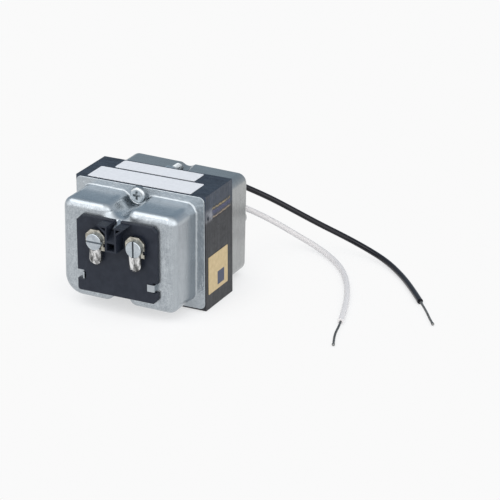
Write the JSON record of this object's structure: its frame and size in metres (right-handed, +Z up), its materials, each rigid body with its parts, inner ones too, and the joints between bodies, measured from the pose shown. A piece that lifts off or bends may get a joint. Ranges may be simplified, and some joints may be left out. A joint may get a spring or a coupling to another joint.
{
  "type": "control transformer",
  "caption": "Box-mount step-down transformer for an electronic flushometer: welded laminated core between two drawn shells, screw terminals in front, two line leads behind.",
  "frame": {"origin": "centre of the laminated core's underside, on the surface the part stands on", "axes": "+Z up; +X to the right as seen from the terminal side; -Y towards the terminals, +Y towards the line leads"},
  "size_m": [0.1894, 0.1413, 0.0636],
  "materials": {
    "core_varnish": "black varnish over stacked steel laminations, lamination lines showing",
    "weld_metal": "arc weld bead with heat tint",
    "bobbin_nylon": "moulded natural nylon",
    "magnet_wire": "enamelled copper wire in layers",
    "coil_tape": "yellow polyester coil tape",
    "insulating_card": "grey fish paper",
    "zinc_steel": "zinc-plated deep-drawn steel, fine spangle on the faces",
    "board_phenolic": "moulded black phenolic",
    "nickel_brass": "nickel-plated stamped brass",
    "nickel_steel": "nickel-plated steel screw",
    "solder": "tin-lead solder, bright and slightly mottled",
    "zinc_screw": "zinc-plated steel",
    "bushing_plastic": "moulded black nylon",
    "black_insulation": "extruded PVC",
    "white_insulation": "extruded PVC",
    "splice_sleeve": "heat-shrink sleeve",
    "tinned_copper": "tinned copper strands dipped in solder",
    "secondary_sleeving": "varnished glass sleeving",
    "white_label": "blank white label",
    "gold_label": "tan foil label with a dark blue field, otherwise blank"
  },
  "bodies": {
    "root": {"core_e_laminations": "core_varnish", "core_i_laminations": "core_varnish", "weld_bead_left": "weld_metal", "weld_bead_right": "weld_metal", "coil_bobbin": "bobbin_nylon", "primary_winding": "magnet_wire", "secondary_winding": "magnet_wire", "primary_tape": "coil_tape", "secondary_tape": "coil_tape", "front_insulating_card": "insulating_card", "rear_insulating_card": "insulating_card", "front_shell": "zinc_steel", "rear_shell": "zinc_steel", "terminal_board": "board_phenolic", "terminal_plate_left": "nickel_brass", "terminal_plate_right": "nickel_brass", "terminal_screw_left": "nickel_steel", "terminal_screw_right": "nickel_steel", "terminal_solder_left": "solder", "terminal_solder_right": "solder", "mounting_screw_top": "zinc_screw", "mounting_screw_bottom": "zinc_screw", "mounting_nut_top": "zinc_screw", "mounting_nut_bottom": "zinc_screw", "lead_bushing_black": "bushing_plastic", "lead_bushing_white": "bushing_plastic", "black_lead": "black_insulation", "inner_lead_black": "black_insulation", "white_lead": "white_insulation", "inner_lead_white": "white_insulation", "lead_splice_black": "splice_sleeve", "lead_splice_white": "splice_sleeve", "black_lead_bare_end": "tinned_copper", "white_lead_bare_end": "tinned_copper", "secondary_wire_left": "secondary_sleeving", "secondary_wire_right": "secondary_sleeving", "top_label_front": "white_label", "top_label_rear": "white_label", "side_label": "gold_label"}
  },
  "joints": []
}
